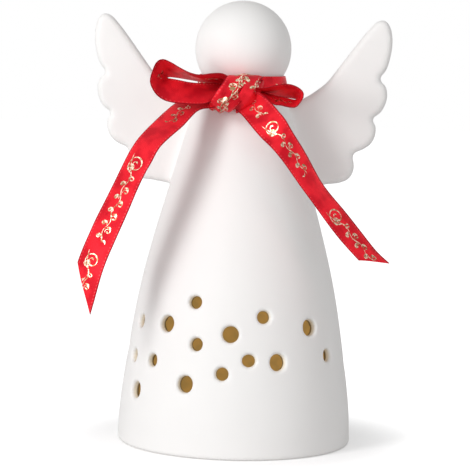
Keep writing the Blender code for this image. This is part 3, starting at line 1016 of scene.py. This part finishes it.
patterns = {
    "left_tail": scroll(16, 12, 3.0, False) + scroll(47, 37) + scroll(88, 24, 3.2),
    "right_tail": scroll(7, 10, 3.2, False) + scroll(21, 27, 3.2) + scroll(64, 30),
    "left_loop": scroll(5, 4, 1.8, False) + scroll(28, 4, 2.2, False),
    "right_loop": scroll(24, 8, 2.4, False),
    "neck_band": scroll(8, 34, 3.2) + scroll(50, 12, 3.0) + scroll(66, 16, 3.0),
    "front_fold": scroll(1, 28, 4.6, False) + scroll(3, 25, 2.8, False),
    "side_fold": scroll(1, 9, 2.6, False),
}
foils = []
for name, strokes in patterns.items():
    end = tail_end(name) if name.endswith("tail") else None
    foils.append(foil_on(lengths[name][0], strokes, "foil_" + name, end))
foil = join_into(foils[0], *foils[1:])
apply_modifier(foil, "SOLIDIFY", thickness=FOIL_THICK, offset=0.0)
settle(foil, "gold_foil")

# %% Gold, bright in most places and darkened in some by a painted dark reflection
# The darker gold is a painted reflection of dark surroundings; the lighter one is the gold itself.
GOLD_AND_REFLECTED_DARK = (0.36, 0.23, 0.11, 1), (1.0, 0.86, 0.66, 1)
gold, tree, shader = new_material("gold_foil_print", Metallic=1.0, Roughness=0.32)
place = make_node(tree, "ShaderNodeTexCoord", {}, {}, output="Object")
dark_reflection_patches = make_node(tree, "ShaderNodeTexNoise", {}, {"Vector": place, "Scale": 900.0, "Detail": 3.0})
gold_with_painted_reflection = mix_colour(tree, dark_reflection_patches.step(0.40, 0.60), *GOLD_AND_REFLECTED_DARK)
tree.links.new(gold_with_painted_reflection.socket, shader.inputs["Base Color"])
foil.data.materials.clear()
foil.data.materials.append(gold)
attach(foil, "root")
print("foil:", len(foil.data.polygons), "faces")

# %% [markdown]
# ## The studio
#
# The photograph is a plain product shot: a white sheet, a large soft lamp to the front left, and
# even light from everywhere else. The floor is white to the camera and keeps the figure's soft
# shadow, and round the foot its white is lowered, which paints a soft shade there.

# %% Floor and backdrop
FLOOR_SIZE = 6.0
# Round the foot the camera sees less lift: a painted shade on the floor.
LIFT_IN_PAINTED_SHADE, LIFT_ADDED_BEYOND_SHADE = 0.36, 0.49
SHADE_FROM, SHADE_TO = 0.048, 0.10
PAPER_GREY = (0.80, 0.80, 0.80, 1)
PURE_WHITE = (1, 1, 1, 1)
EVEN_LIGHT = 0.39
start_clean()
bpy.ops.mesh.primitive_plane_add(size=FLOOR_SIZE, location=(0, 0, 0))
floor = bpy.context.object
floor.name = "floor"
sheet_white = bpy.data.materials.new("white_sheet")
sheet_white.use_nodes = True
tree = sheet_white.node_tree
tree.nodes.clear()
paths = tree.nodes.new("ShaderNodeLightPath")
seen = Shade(tree, paths.outputs["Is Camera Ray"])
matt = make_node(tree, "ShaderNodeBsdfDiffuse", {}, {"Color": PAPER_GREY})
spot = make_node(tree, "ShaderNodeTexCoord", {}, {}, output="Object")
from_axis = make_node(tree, "ShaderNodeVectorMath", {"operation": "LENGTH"}, {0: spot}, output="Value")
# Lower white near the axis: painted shade round the foot.
lift_with_painted_shade = LIFT_IN_PAINTED_SHADE + from_axis.step(SHADE_FROM, SHADE_TO) * LIFT_ADDED_BEYOND_SHADE
lift = make_node(tree, "ShaderNodeEmission", {}, {"Color": PURE_WHITE, "Strength": seen * lift_with_painted_shade})
both = make_node(tree, "ShaderNodeAddShader", {}, {0: matt, 1: lift})
make_node(tree, "ShaderNodeOutputMaterial", {}, {"Surface": both})
floor.data.materials.append(sheet_white)

world = bpy.data.worlds.new("studio")
bpy.context.scene.world = world
world.use_nodes = True
tree = world.node_tree
tree.nodes.clear()
paths = tree.nodes.new("ShaderNodeLightPath")
straight = [Shade(tree, paths.outputs[name]) for name in
            ("Is Camera Ray", "Is Glossy Ray", "Is Transmission Ray")]
direct = (straight[0] + straight[1] + straight[2]).clamp()
even = make_node(tree, "ShaderNodeBackground", {}, {"Color": PURE_WHITE, "Strength": EVEN_LIGHT})
white = make_node(tree, "ShaderNodeBackground", {}, {"Color": PURE_WHITE, "Strength": 1.0})
blend = make_node(tree, "ShaderNodeMixShader", {}, {0: direct, 1: even, 2: white})
make_node(tree, "ShaderNodeOutputWorld", {}, {"Surface": blend})

# %% Lamps
LAMP_TARGET = Vector((0, 0, 0.11))
LAMP_AWAY = 1.2


def soft_lamp(name, turn, rise, size, power):
    """A soft lamp at a turn to the right of the front and a rise, in degrees, aimed at the dress."""
    turn, rise = math.radians(turn), math.radians(rise)
    out = Vector((math.sin(turn) * math.cos(rise), -math.cos(turn) * math.cos(rise), math.sin(rise)))
    lamp = bpy.data.lights.new(name, "AREA")
    lamp.shape = "DISK"
    lamp.size = size
    lamp.energy = power
    obj = bpy.data.objects.new(name, lamp)
    bpy.context.scene.collection.objects.link(obj)
    obj.location = LAMP_TARGET + out * LAMP_AWAY
    obj.rotation_euler = (LAMP_TARGET - obj.location).to_track_quat("-Z", "Y").to_euler()


soft_lamp("high_left_lamp", -44, 30, 0.36, 4.4)
soft_lamp("low_left_lamp", -44, 5, 0.36, 3.3)
soft_lamp("near_left_lamp", -25, 14, 0.6, 1.4)
soft_lamp("right_fill", 50, 5, 0.6, 2.3)
